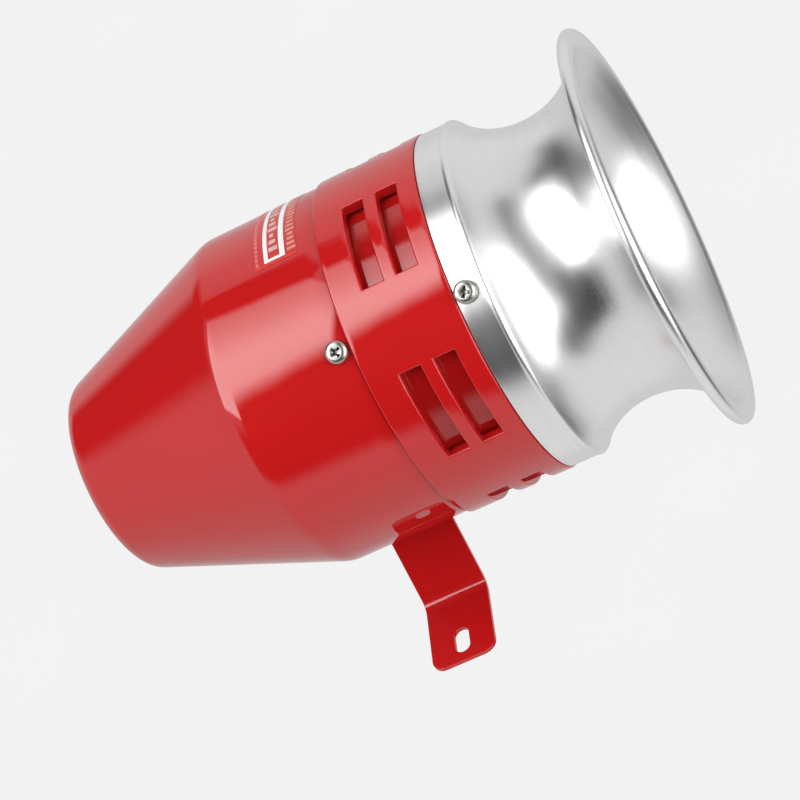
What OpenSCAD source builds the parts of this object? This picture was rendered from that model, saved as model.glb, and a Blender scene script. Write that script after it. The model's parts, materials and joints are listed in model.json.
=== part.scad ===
// Motor siren: a ported drum spins inside a slotted ring, behind a spun horn.
// X runs along the siren's axis toward the horn's mouth, Z is up from the mounting
// surface, and the origin is midway between the bracket's two slots on that surface.
// Clock angles turn about the siren's axis from the top toward -Y.

/* [Siren] */
// Height of the siren's axis above the mounting surface
axis_h = 94.3; // [88:0.1:110]
// Clearance on running and push fits
fit = 0.05; // [0.02:0.01:0.1]

/* [Rear cover] */
// Outer radius of the cover's cylinder
cover_r = 64; // [63.5:0.1:64.5]
// Sheet thickness of the cover
cover_wall = 1.2; // [1:0.1:1.4]
// X of the cover's closed end
cover_x0 = -91.1; // [-96:0.1:-91]
// X where the cone meets the cylinder
cover_bend_x = -18.7; // [-22:0.1:-16]
// X of the cover's rim, where it meets the slotted ring
rim_x = 29.1; // [28:0.1:29.5]
// Slope of the cone in degrees
cone_slope = 21; // [19:0.5:22]

/* [Slotted ring] */
// Outer radius of the ring
ring_r = 65.2; // [65:0.1:66]
// Wall of the ring
ring_wall = 4; // [3.5:0.1:4]
// Length of the ring's outside
ring_len = 40; // [39.5:0.1:42]
// Number of slot pairs round the ring
slot_pairs = 6; // [4:1:6]
// Half of the arc that a slot covers in degrees
slot_half = 16; // [12:0.5:18]
// Clock angle of the first slot pair
slot_clock = 16.3; // [0:0.1:30]
// Clock angle of the first cover screw and horn screw
screw_clock = 46.3; // [45:0.1:47]

/* [Horn] */
// Outer radius of the horn's band
band_r = 64.7; // [64.5:0.1:65]
// Sheet thickness of the horn
horn_wall = 1.2; // [1:0.1:1.3]
// Outer radius at the horn's neck
neck_r = 53.7; // [52:0.1:56]
// Radius of the rolled bead's centre line
bead_ring_r = 73.6; // [72:0.1:78]
// Radius of the bead's own section
bead_r = 2.3; // [1.8:0.1:2.6]

/* [Siren rotor] */
// Outer radius of the rotor's drum
drum_r = 60.2; // [59:0.1:60.2]
// Half of the arc that a port covers in degrees
port_half = 12; // [8:0.5:12]

/* [Bracket] */
// Width of the strap
strap_w = 25.6; // [22:0.1:30]
// Thickness of the strap
strap_t = 1.6; // [1.5:0.1:2.5]
// Distance between the two slots' centres
slot_spacing = 111.4; // [108:0.1:116]
// Width of a mounting slot
mount_slot_w = 6; // [5:0.5:7]
// Length of a mounting slot, end to end
mount_slot_len = 12; // [10:0.5:14]
// Lean of the legs from upright in degrees
leg_lean = 29.5; // [28:0.5:32]

/* [Motor] */
// Outer radius of the stator core
stator_r = 39; // [39:0.1:40]
// Radius of the armature
armature_r = 22.7; // [22:0.1:23]
// Radius of the commutator
commutator_r = 13; // [12.5:0.1:13.5]
// Radius of the shaft in its bearings
shaft_r = 4; // [4:0.01:4.01]

/* [Hidden] */
$fn = 64;
red = [0.78, 0.10, 0.10];
alloy = [0.80, 0.81, 0.82];
steel = [0.62, 0.63, 0.65];
copper = [0.72, 0.40, 0.20];
black = [0.12, 0.12, 0.13];
overcut = 1;

// Cover and ring joints
cover_in_r = cover_r - cover_wall;
cover_back_r = cover_r - (cover_bend_x - cover_x0)*tan(cone_slope);
cover_corner = 8.5;
cover_bend_round = 14;
ring_x1 = rim_x + ring_len;
ring_in_r = ring_r - ring_wall;
ring_edge = 0.8;
spigot_len = 8;
rear_spigot_in_r = 59.7;
front_spigot_len = 9;
flange_t = 5;
flange_in_r = 44;
slot_bands = [[11.4, 19.5], [24.5, 32.5]];
cover_screw_x = rim_x - 5;
horn_screw_x = ring_x1 + 4.3;

// Horn outline stations along X
band_end_x = ring_x1 + 10.1;
shoulder_x = ring_x1 + 12.5;
neck_x = ring_x1 + 35.4;
bead_x = ring_x1 + 62.6;
band_in_r = band_r - horn_wall;

// Case screws
case_screw_r = 2;
case_head_r = 4.1;
case_head_h = 2.5;
case_screw_len = 6.5;
hole_from_r = ring_in_r - 4;
hole_len = 12;

// Bracket
saddle_gap = 0.1;
strap_mid_r = cover_r + saddle_gap + strap_t/2;
saddle_half = 15;
saddle_angle = asin(saddle_half/strap_mid_r);
leg_top_z = axis_h - strap_mid_r*cos(saddle_angle);
leg_foot_y = saddle_half + (leg_top_z - strap_t/2)*tan(leg_lean);
foot_end_y = slot_spacing/2 + mount_slot_len/2 + 4.2;
foot_corner = 5;
saddle_bend = 4;
foot_bend = 7;
bracket_screw_x = 6;
bracket_screw_r = 2.5;
bracket_head_r = 4.7;
bracket_head_h = 3.4;
bracket_nut_h = 4;
bracket_nut_across = 8;
bracket_nut_seat = cover_in_r - 0.2;

// Label and cord inlet
label_x0 = 4.6;
label_len = 17;
label_half = 30;
label_clock = 339;
label_t = 0.2;
inlet_x = 5;
inlet_clock = 230;
inlet_r = 4;
inlet_hole_r = 6;
inlet_flange_r = 8;

// Motor stations along X
plate_t = 2.5;
plate_x0 = rim_x - plate_t;
plate_r = 56;
plate_hole_r = 16;
plate_screw_ring = 50;
motor_screw_ring = 30;
motor_screw_r = 2;
motor_head_r = 3.8;
motor_head_h = 2.6;
core_x1 = -2;
core_x0 = core_x1 - 38;
front_bell_web = 3.5;
bearing_w = 7;
bearing_out_r = 11;
race_in_r = 6.2;
race_out_r = 8.9;
ball_r = 1.98;
ball_ring = 7.55;
balls = 7;
front_bearing_x = plate_x0 - bearing_w;
bell_wall = 3;
bell_in_r = stator_r - bell_wall;
rear_bell_x = core_x0 - 26;
rear_bell_end = core_x0 - 38;
rear_bearing_x = core_x0 - 35;
bell_boss_r = 4.5;
bell_boss_len = 8;
bearing_boss_r = 14;
bolt_ring = 35;
bolt_r = 2;
bolt_boss_r = 3.6;
bolt_head_x = rear_bell_x - 2;
bolt_seat_r = 4.4;
boss_relief = 0.5;
pole_in_r = armature_r + 0.6;
yoke_in_r = 31;
pole_neck_half = 20;
coil_gap_half = 21;
coil_half = 60;
coil_overhang = 8;
fan_x0 = 6;
fan_len = 8;
commutator_x0 = core_x0 - 27;
commutator_len = 17;
brush_x = commutator_x0 + commutator_len/2;
brush_w = 6;
brush_h = 8;
brush_out_r = 27;
holder_r = 7;
holder_out_r = 41;
cap_r = 5.5;
cap_in_r = 37.5;
terminal_len = 28;
terminal_h = 9;
terminal_w = 14;
terminal_pitch = 8;
armature_slots = 12;
armature_slot_r = 2.8;
armature_slot_ring = 18.4;

// Siren rotor stations along X
drum_x0 = rim_x + 8.4;
drum_x1 = rim_x + 35.8;
drum_wall = 2.5;
back_t = 2.5;
hub_x0 = drum_x0 - 2;
hub_x1 = drum_x0 + 20;
hub_r = 12;
eye_r = 46;
vane_t = 2;
vane_in_r = 20;
washer_t = 1.6;
nut_h = 6.5;
nut_across = 13;
shaft_tip_x = hub_x1 + washer_t + nut_h + 3;
shaft_body_r = 5;

// ---- Outline functions ----

// Points of the arc that rounds the corner b between a and c
function rounded(a, b, c, r, n = 6) =
    let (u = (a - b)/norm(a - b), v = (c - b)/norm(c - b),
         half = acos(u*v)/2, mid = b + (u + v)/norm(u + v)*r/sin(half),
         p = b + u*r/tan(half), q = b + v*r/tan(half),
         a0 = atan2(p[1] - mid[1], p[0] - mid[0]),
         raw = atan2(q[1] - mid[1], q[0] - mid[0]) - a0,
         turn = raw > 180 ? raw - 360 : raw < -180 ? raw + 360 : raw)
    [for (i = [0 : n]) mid + r*[cos(a0 + turn*i/n), sin(a0 + turn*i/n)]];

// Points along the cubic curve with control points p
function curve(p, n = 12) =
    [for (i = [0 : n]) let (t = i/n, s = 1 - t)
        s*s*s*p[0] + 3*s*s*t*p[1] + 3*s*t*t*p[2] + t*t*t*p[3]];

// Unit normal on the left of the path at point i
function normal(p, i) =
    let (d = p[min(i + 1, len(p) - 1)] - p[max(i - 1, 0)])
    [-d[1], d[0]]/norm(d);

// The path moved sideways by d, toward its left
function beside(p, d) = [for (i = [0 : len(p) - 1]) p[i] + d*normal(p, i)];

function backward(p) = [for (i = [len(p) - 1 : -1 : 0]) p[i]];

// Closed outline between two copies of the path
function strip(p, left, right) = concat(beside(p, left), backward(beside(p, -right)));

// ---- Shared shapes ----

// Local Z becomes the siren's axis
module on_axis() translate([0, 0, axis_h]) rotate([0, 90, 0]) children();

// Turns local X to a clock angle
module at_clock(a) rotate([0, 0, 180 + a]) children();

// Local Z points outward from the axis, at station x and radius r
module outward(x, r = 0) translate([r, 0, x]) rotate([0, 90, 0]) children();

module spin(points) rotate_extrude($fn = 128) polygon(points);

module tube(r_out, r_in, x0, x1)
    translate([0, 0, x0]) difference() {
        cylinder(r = r_out, h = x1 - x0);
        translate([0, 0, -overcut]) cylinder(r = r_in, h = x1 - x0 + 2*overcut);
    }

// Part of a tube, half_angle to either side of local X
module sector(r_out, r_in, x0, x1, half_angle)
    translate([0, 0, x0]) rotate([0, 0, -half_angle])
        rotate_extrude(angle = 2*half_angle, $fn = 128)
            translate([r_in, 0]) square([r_out - r_in, x1 - x0]);

// Cross-recess pan head on z = 0 with its shank below
module pan_screw(r, head_r, head_h, length) {
    recess_w = head_r*0.28;
    recess_l = head_r*1.15;
    recess_d = head_h*0.6;
    dome = [for (a = [0 : 15 : 90]) [head_r*(0.55 + 0.45*cos(a)), head_h*(0.35 + 0.65*sin(a))]];
    difference() {
        rotate_extrude() polygon(concat([[0, 0], [head_r, 0]], dome, [[0, head_h]]));
        for (a = [0, 90]) rotate([0, 0, a])
            translate([-recess_l/2, -recess_w/2, head_h - recess_d])
                cube([recess_l, recess_w, recess_d + overcut]);
    }
    translate([0, 0, -length]) cylinder(r = r, h = length);
}

module hex_nut(across, h, bore_r) difference() {
    cylinder(r = across/2/cos(30), h = h, $fn = 6);
    translate([0, 0, -overcut]) cylinder(r = bore_r, h = h + 2*overcut);
}

// Copies round the axis, the first at clock angle a
module ring_of(n, a) for (i = [0 : n - 1]) at_clock(a + i*360/n) children();

// Helical spring of round wire along +Z
module coil_spring(r, wire_r, length, turns) {
    sides = 6;
    steps = 12;
    rings = turns*steps;
    function wire_point(i, k) =
        let (a = i*360/steps, b = k*360/sides, rr = r + wire_r*cos(b))
        [rr*cos(a), rr*sin(a), wire_r + (length - 2*wire_r)*i/rings + wire_r*sin(b)];
    points = [for (i = [0 : rings], k = [0 : sides - 1]) wire_point(i, k)];
    skin = [for (i = [0 : rings - 1], k = [0 : sides - 1])
        let (n = (k + 1)%sides) [i*sides + k, (i + 1)*sides + k, (i + 1)*sides + n, i*sides + n]];
    first = [for (k = [0 : sides - 1]) k];
    last = [for (k = [sides - 1 : -1 : 0]) rings*sides + k];
    polyhedron(points, concat(skin, [first, last]), convexity = 8);
}

// ---- Case ----

module rear_cover() {
    outline = concat([[0, cover_x0]],
        rounded([0, cover_x0], [cover_back_r, cover_x0], [cover_r, cover_bend_x], cover_corner),
        rounded([cover_back_r, cover_x0], [cover_r, cover_bend_x], [cover_r, rim_x],
            cover_bend_round),
        [[cover_r, rim_x]]);
    color(red) on_axis() difference() {
        spin(strip(outline, cover_wall, 0));
        ring_of(3, screw_clock) outward(cover_screw_x, hole_from_r)
            cylinder(r = case_screw_r + fit, h = hole_len);
        at_clock(180) for (x = [-bracket_screw_x, bracket_screw_x])
            outward(x, hole_from_r) cylinder(r = bracket_screw_r + fit, h = hole_len);
        at_clock(inlet_clock) outward(inlet_x, hole_from_r)
            cylinder(r = inlet_hole_r, h = hole_len);
    }
}

module cover_screws()
    color(steel) on_axis() ring_of(3, screw_clock) outward(cover_screw_x, cover_r)
        pan_screw(case_screw_r, case_head_r, case_head_h, case_screw_len);

module rating_label()
    color("white") on_axis() at_clock(label_clock)
        sector(cover_r + label_t, cover_r, label_x0, label_x0 + label_len, label_half);

module cable_grommet() {
    neck_in = cover_in_r - 0.6;
    neck_len = cover_wall + 0.7;
    flange_t_in = 2;
    flange_t_out = 2.4;
    color(black) on_axis() at_clock(inlet_clock) outward(inlet_x, neck_in) difference() {
        union() {
            translate([0, 0, -flange_t_in]) cylinder(r = inlet_flange_r, h = flange_t_in);
            cylinder(r = inlet_hole_r, h = neck_len);
            translate([0, 0, neck_len]) cylinder(r = inlet_flange_r, h = flange_t_out);
        }
        translate([0, 0, -flange_t_in - overcut]) cylinder(r = inlet_r, h = 10);
    }
}

module slotted_ring() {
    rear_x = rim_x - spigot_len;
    front_x = ring_x1 + front_spigot_len;
    profile = concat(
        [[rear_spigot_in_r, rear_x], [cover_in_r - fit, rear_x], [cover_in_r - fit, rim_x]],
        rounded([cover_in_r, rim_x], [ring_r, rim_x], [ring_r, ring_x1], ring_edge, 3),
        rounded([ring_r, rim_x], [ring_r, ring_x1], [ring_in_r, ring_x1], ring_edge, 3),
        [[band_in_r - fit, ring_x1], [band_in_r - fit, front_x], [ring_in_r, front_x],
         [ring_in_r, rim_x + flange_t], [flange_in_r, rim_x + flange_t], [flange_in_r, rim_x],
         [rear_spigot_in_r, rim_x]]);
    color(red) on_axis() difference() {
        spin(profile);
        ring_of(slot_pairs, slot_clock) for (band = slot_bands)
            sector(ring_r + 2, ring_in_r - 1, rim_x + band[0], rim_x + band[1], slot_half);
        ring_of(3, screw_clock) for (x = [cover_screw_x, horn_screw_x])
            outward(x, hole_from_r) cylinder(r = case_screw_r + fit, h = hole_len);
        ring_of(4, 0) translate([plate_screw_ring, 0, rim_x - overcut])
            cylinder(r = motor_screw_r, h = flange_t + 2*overcut);
    }
}

module horn() {
    ridge = [[band_r, band_end_x], [band_r + 0.35, band_end_x + 0.8],
             [band_r + 0.25, band_end_x + 1.6]];
    shoulder = curve([[band_r - 0.5, shoulder_x], [60, shoulder_x + 2.9],
                      [neck_r, neck_x - 12.5], [neck_r, neck_x]]);
    // The inside of the sheet runs straight up onto the front of the bead
    join = asin(1 - horn_wall/bead_r);
    rim_r = bead_ring_r - bead_r*cos(join);
    rim_back_x = bead_x + bead_r - horn_wall;
    flare = curve([[neck_r, neck_x], [neck_r, neck_x + 20],
                   [rim_r - 1.5, rim_back_x], [rim_r, rim_back_x]]);
    sheet = concat([[band_r, ring_x1]], ridge, shoulder, [for (i = [1 : 12]) flare[i]]);
    bead = [for (i = [0 : 22]) let (a = 90 - i*(270 + join)/23)
        [bead_ring_r, bead_x] + bead_r*[cos(a), sin(a)]];
    color(alloy) on_axis() difference() {
        spin(concat(beside(sheet, horn_wall), bead, backward(sheet)));
        ring_of(3, screw_clock) outward(horn_screw_x, hole_from_r)
            cylinder(r = case_screw_r + fit, h = hole_len);
    }
}

module horn_screws()
    color(steel) on_axis() ring_of(3, screw_clock) outward(horn_screw_x, band_r)
        pan_screw(case_screw_r, case_head_r, case_head_h, case_screw_len);

// ---- Bracket ----

// Strap's centre line in Y and Z from the saddle's middle to the end of the +Y foot
function strap_path() =
    let (steps = 6,
         arc = [for (i = [0 : steps - 1]) let (a = saddle_angle*i/steps)
             [strap_mid_r*sin(a), axis_h - strap_mid_r*cos(a)]],
         top = [saddle_half + saddle_bend*0.4, leg_top_z + saddle_bend*0.4*tan(saddle_angle)],
         foot = [leg_foot_y, strap_t/2], end = [foot_end_y, strap_t/2])
    concat(arc, rounded(arc[steps - 1], top, foot, saddle_bend),
        rounded(top, foot, end, foot_bend), [end]);

module round_rect(l, w, r) {
    square([l - 2*r, w], center = true);
    square([l, w - 2*r], center = true);
    for (x = [-1, 1], y = [-1, 1]) translate([x*(l/2 - r), y*(w/2 - r)]) circle(r);
}

module mounting_bracket() {
    half = strap_path();
    mirrored = [for (p = backward(half)) if (p[0] > 0) [-p[0], p[1]]];
    color(red) difference() {
        intersection() {
            translate([-strap_w/2, 0, 0]) rotate([90, 0, 90]) linear_extrude(strap_w)
                polygon(strip(concat(mirrored, half), strap_t/2, strap_t/2));
            linear_extrude(axis_h) round_rect(strap_w, 2*foot_end_y, foot_corner);
        }
        for (s = [-1, 1]) translate([0, s*slot_spacing/2, -overcut]) {
            run = mount_slot_len - mount_slot_w;
            for (e = [-1, 1]) translate([0, e*run/2, 0])
                cylinder(r = mount_slot_w/2, h = strap_t + 2*overcut);
            translate([-mount_slot_w/2, -run/2, 0])
                cube([mount_slot_w, run, strap_t + 2*overcut]);
        }
        on_axis() at_clock(180) for (x = [-bracket_screw_x, bracket_screw_x])
            outward(x, hole_from_r) cylinder(r = bracket_screw_r + fit, h = hole_len);
    }
}

module bracket_screws()
    color(steel) on_axis() at_clock(180) for (x = [-bracket_screw_x, bracket_screw_x])
        outward(x, cover_r + saddle_gap + strap_t)
            pan_screw(bracket_screw_r, bracket_head_r, bracket_head_h, 9);

module bracket_nuts()
    color(steel) on_axis() at_clock(180) for (x = [-bracket_screw_x, bracket_screw_x])
        outward(x, bracket_nut_seat - bracket_nut_h) 
            hex_nut(bracket_nut_across, bracket_nut_h, bracket_screw_r);

// ---- Motor, fixed parts ----

module motor_plate()
    color(steel) on_axis() difference() {
        translate([0, 0, plate_x0]) cylinder(r = plate_r, h = plate_t);
        translate([0, 0, plate_x0 - overcut]) {
            cylinder(r = plate_hole_r, h = plate_t + 2*overcut);
            ring_of(4, 0) {
                translate([plate_screw_ring, 0, 0])
                    cylinder(r = motor_screw_r + fit, h = plate_t + 2*overcut);
                translate([motor_screw_ring, 0, 0])
                    cylinder(r = motor_screw_r + fit, h = plate_t + 2*overcut);
            }
        }
    }

module plate_screws()
    color(steel) on_axis() ring_of(4, 0)
        translate([plate_screw_ring, 0, plate_x0]) rotate([180, 0, 0])
            pan_screw(motor_screw_r, motor_head_r, motor_head_h, plate_t + flange_t - 1);

module motor_screws()
    color(steel) on_axis() ring_of(4, 0)
        translate([motor_screw_ring, 0, rim_x]) pan_screw(motor_screw_r, motor_head_r, motor_head_h, 9.5);

module front_end_bell() {
    web_x = plate_x0 - front_bell_web;
    pocket_x = front_bearing_x;
    color(alloy) on_axis() difference() {
        union() {
            tube(stator_r, bell_in_r, core_x1, plate_x0);
            translate([0, 0, web_x]) cylinder(r = stator_r, h = front_bell_web);
            translate([0, 0, pocket_x]) cylinder(r = bearing_boss_r, h = bearing_w);
            ring_of(4, 0) translate([motor_screw_ring, 0, plate_x0 - bell_boss_len])
                cylinder(r = bell_boss_r, h = bell_boss_len);
            ring_of(4, 45) translate([bolt_ring, 0, core_x1 + boss_relief])
                cylinder(r = bolt_boss_r, h = plate_x0 - core_x1 - 2*boss_relief);
        }
        translate([0, 0, pocket_x - overcut]) cylinder(r = bearing_out_r, h = bearing_w + 2*overcut);
        ring_of(4, 0) translate([motor_screw_ring, 0, rim_x - 9.5])
            cylinder(r = motor_screw_r, h = 9.5);
        ring_of(4, 45) translate([bolt_ring, 0, core_x1 - overcut])
            cylinder(r = bolt_r, h = 16);
        // Air outlets between the bosses
        ring_of(8, 22.5) sector(stator_r + 1, bell_in_r - 2, fan_x0 - 2, fan_x0 + fan_len + 2, 8);
    }
}

module rear_end_bell() {
    back_r = 26;
    shell = [[stator_r, core_x0], [bell_in_r, core_x0], [bell_in_r, rear_bell_x],
        [back_r, rear_bell_end + 3], [back_r - 12, rear_bell_end + 3],
        [bearing_boss_r, rear_bearing_x + bearing_w], [bearing_out_r, rear_bearing_x + bearing_w],
        [bearing_out_r, rear_bearing_x], [0, rear_bearing_x], [0, rear_bell_end],
        [back_r, rear_bell_end], [30, rear_bell_end + 2], [stator_r, rear_bell_x]];
    color(alloy) on_axis() difference() {
        union() {
            spin(shell);
            ring_of(4, 45) translate([bolt_ring, 0, bolt_head_x])
                cylinder(r = bolt_boss_r, h = core_x0 - boss_relief - bolt_head_x);
        }
        ring_of(4, 45) {
            translate([bolt_ring, 0, bolt_head_x - overcut]) cylinder(r = bolt_r + fit, h = 40);
            translate([bolt_ring, 0, bolt_head_x - 10]) cylinder(r = bolt_seat_r, h = 10);
        }
        ring_of(2, 90) outward(brush_x, bell_in_r - 4) cylinder(r = holder_r, h = 12);
        for (y = [-8, 8]) translate([0, y, rear_bell_end - overcut]) cylinder(r = 1.5, h = 5);
        // Cooling slots beside the brush holders
        ring_of(2, 0) sector(stator_r + 1, bell_in_r - 3, core_x0 - 20, core_x0 - 8, 22);
    }
}

module through_bolts()
    color(steel) on_axis() ring_of(4, 45) translate([bolt_ring, 0, bolt_head_x])
        rotate([180, 0, 0]) pan_screw(bolt_r, motor_head_r, motor_head_h, core_x1 + 14 - bolt_head_x);

module stator_core() {
    pole_half = 52;
    shoe_out_r = pole_in_r + 3;
    color(steel) on_axis() difference() {
        union() {
            tube(stator_r, yoke_in_r, core_x0, core_x1);
            ring_of(2, 0) {
                sector(shoe_out_r, pole_in_r, core_x0, core_x1, pole_half);
                sector(yoke_in_r + 0.2, shoe_out_r - 0.2, core_x0, core_x1, pole_neck_half);
            }
        }
        ring_of(4, 45) translate([bolt_ring, 0, core_x0 - overcut])
            cylinder(r = bolt_r + 0.2, h = core_x1 - core_x0 + 2*overcut);
    }
}

module field_coils() {
    coil_in_r = pole_in_r + 3.2;
    coil_out_r = yoke_in_r - 0.2;
    color(copper) on_axis() ring_of(2, 0) difference() {
        sector(coil_out_r, coil_in_r, core_x0 - coil_overhang, core_x1 + coil_overhang - 1, coil_half);
        sector(coil_out_r + 1, coil_in_r - 1, core_x0 - 0.5, core_x1 + 0.5, coil_gap_half);
    }
}

module brush_holders()
    color(black) on_axis() ring_of(2, 90) outward(brush_x) difference() {
        translate([0, 0, commutator_r + 3]) cylinder(r = holder_r, h = holder_out_r - commutator_r - 3);
        translate([-brush_w/2 - fit, -brush_h/2 - fit, 0])
            cube([brush_w + 2*fit, brush_h + 2*fit, cap_in_r + overcut]);
        translate([0, 0, cap_in_r]) cylinder(r = cap_r, h = 5);
    }

module carbon_brushes()
    color([0.20, 0.20, 0.21]) on_axis() difference() {
        ring_of(2, 90) outward(brush_x)
            translate([-brush_w/2, -brush_h/2, commutator_r - 1])
                cube([brush_w, brush_h, brush_out_r - commutator_r + 1]);
        translate([0, 0, commutator_x0 - overcut])
            cylinder(r = commutator_r + fit, h = commutator_len + 2*overcut);
    }

module brush_springs()
    color(steel) on_axis() ring_of(2, 90) outward(brush_x, brush_out_r)
        coil_spring(2.4, 0.3, cap_in_r - brush_out_r, 6);

module brush_caps()
    color(black) on_axis() ring_of(2, 90) outward(brush_x, cap_in_r) difference() {
        cylinder(r = cap_r, h = holder_out_r - cap_in_r);
        translate([-4, -0.5, holder_out_r - cap_in_r - 1]) cube([8, 1, 2]);
    }

module terminal_block()
    color([0.88, 0.87, 0.82]) on_axis()
        translate([-terminal_w/2, -terminal_len/2, rear_bell_end - terminal_h]) difference() {
            cube([terminal_w, terminal_len, terminal_h]);
            // Fixing holes, wire entries and clamp wells
            for (y = [-8, 8]) translate([terminal_w/2, terminal_len/2 + y, -overcut]) {
                cylinder(r = 1.5 + fit, h = terminal_h + 2*overcut);
                cylinder(r = 3, h = overcut + 3);
            }
            for (y = [-11.4, 0, 11.4])
                translate([-overcut, terminal_len/2 + y, 5]) rotate([0, 90, 0])
                    cylinder(r = 1.2, h = terminal_w + 2*overcut);
        }

module terminal_screws()
    color(steel) on_axis() for (y = [-8, 8])
        translate([0, y, rear_bell_end - terminal_h + 3]) rotate([180, 0, 0])
            pan_screw(1.5, 2.8, 2, terminal_h - 3 + 2.5);

// ---- Bearings ----

module ball_groove(x) translate([0, 0, x + bearing_w/2]) rotate_extrude()
    translate([ball_ring, 0]) circle(ball_r + 0.02, $fn = 32);

module outer_race(x) color(steel) on_axis() difference() {
    tube(bearing_out_r, race_out_r, x, x + bearing_w);
    ball_groove(x);
}

module inner_race(x) color(steel) on_axis() difference() {
    tube(race_in_r, shaft_r, x, x + bearing_w);
    ball_groove(x);
}

module bearing_balls(x) color(steel) on_axis() ring_of(balls, 0)
    translate([ball_ring, 0, x + bearing_w/2]) sphere(ball_r, $fn = 32);

module front_bearing_outer_race() outer_race(front_bearing_x);
module rear_bearing_outer_race() outer_race(rear_bearing_x);
module front_bearing_balls() bearing_balls(front_bearing_x);
module rear_bearing_balls() bearing_balls(rear_bearing_x);
module front_bearing_inner_race() inner_race(front_bearing_x);
module rear_bearing_inner_race() inner_race(rear_bearing_x);

// ---- Turning parts ----

module motor_shaft()
    color(steel) on_axis() {
        translate([0, 0, rear_bearing_x + 0.5])
            cylinder(r = shaft_r, h = shaft_tip_x - rear_bearing_x - 0.5);
        translate([0, 0, rear_bearing_x + bearing_w])
            cylinder(r = shaft_body_r, h = front_bearing_x - rear_bearing_x - bearing_w);
    }

module armature_core()
    color(steel) on_axis() difference() {
        translate([0, 0, core_x0]) cylinder(r = armature_r, h = core_x1 - core_x0);
        translate([0, 0, core_x0 - overcut]) {
            cylinder(r = shaft_body_r, h = core_x1 - core_x0 + 2*overcut);
            ring_of(armature_slots, 0) {
                translate([armature_slot_ring, 0, 0])
                    cylinder(r = armature_slot_r, h = core_x1 - core_x0 + 2*overcut);
                translate([armature_slot_ring, -0.8, 0])
                    cube([6, 1.6, core_x1 - core_x0 + 2*overcut]);
            }
        }
    }

module armature_windings() {
    head_len = 7;
    head_in_r = 9;
    head_out_r = 21.5;
    color(copper) on_axis() {
        for (x = [core_x0 - head_len, core_x1])
            tube(head_out_r, head_in_r, x, x + head_len);
        ring_of(armature_slots, 0) translate([armature_slot_ring, 0, core_x0 - 1])
            cylinder(r = armature_slot_r - 0.1, h = core_x1 - core_x0 + 2);
    }
}

module commutator() {
    bars = 24;
    color(copper) on_axis() difference() {
        union() {
            tube(commutator_r, shaft_body_r, commutator_x0, commutator_x0 + commutator_len);
            tube(commutator_r + 1.5, shaft_body_r, commutator_x0 + commutator_len,
                commutator_x0 + commutator_len + 2.5);
        }
        ring_of(bars, 0) translate([commutator_r - 0.6, -0.25, commutator_x0 - overcut])
            cube([1, 0.5, commutator_len + overcut - 0.5]);
    }
}

module cooling_fan() {
    fan_r = 30;
    hub = 8;
    blades = 9;
    color(black) on_axis() difference() {
        union() {
            tube(hub, shaft_body_r, fan_x0, fan_x0 + fan_len);
            tube(fan_r, shaft_body_r, fan_x0, fan_x0 + 1.5);
            ring_of(blades, 0) translate([hub - 1, -0.75, fan_x0 + 1])
                cube([fan_r - hub, 1.5, fan_len - 1]);
        }
        translate([0, 0, fan_x0 - overcut]) cylinder(r = shaft_body_r, h = fan_len + 2*overcut);
    }
}

module rotor_spacer()
    color(steel) on_axis() tube(6.5, shaft_r, plate_x0, hub_x0);

module siren_rotor()
    color(red) on_axis() difference() {
        union() {
            tube(drum_r, drum_r - drum_wall, drum_x0, drum_x1);
            tube(drum_r, shaft_r, drum_x0, drum_x0 + back_t);
            tube(hub_r, shaft_r, hub_x0, hub_x1);
            tube(drum_r, eye_r, drum_x1 - 2, drum_x1);
            ring_of(2*slot_pairs, slot_clock + 15)
                translate([vane_in_r, -vane_t/2, drum_x0 + 1])
                    cube([drum_r - 1 - vane_in_r, vane_t, drum_x1 - drum_x0 - 2]);
        }
        ring_of(slot_pairs, slot_clock + 180/slot_pairs) for (band = slot_bands)
            sector(drum_r + 1, drum_r - drum_wall - 1, rim_x + band[0], rim_x + band[1], port_half);
    }

module rotor_washer()
    color(steel) on_axis() tube(8, shaft_r, hub_x1, hub_x1 + washer_t);

module rotor_nut()
    color(steel) on_axis() translate([0, 0, hub_x1 + washer_t]) hex_nut(nut_across, nut_h, shaft_r);

rear_cover();
cover_screws();
rating_label();
cable_grommet();
slotted_ring();
horn();
horn_screws();
mounting_bracket();
bracket_screws();
bracket_nuts();
motor_plate();
plate_screws();
motor_screws();
front_end_bell();
rear_end_bell();
through_bolts();
stator_core();
field_coils();
brush_holders();
carbon_brushes();
brush_springs();
brush_caps();
terminal_block();
terminal_screws();
front_bearing_outer_race();
rear_bearing_outer_race();
front_bearing_balls();
rear_bearing_balls();
front_bearing_inner_race();
rear_bearing_inner_race();
motor_shaft();
armature_core();
armature_windings();
commutator();
cooling_fan();
rotor_spacer();
siren_rotor();
rotor_washer();
rotor_nut();
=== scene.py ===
import json
import math

import bmesh
import bpy
from mathutils import Matrix, Vector


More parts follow.
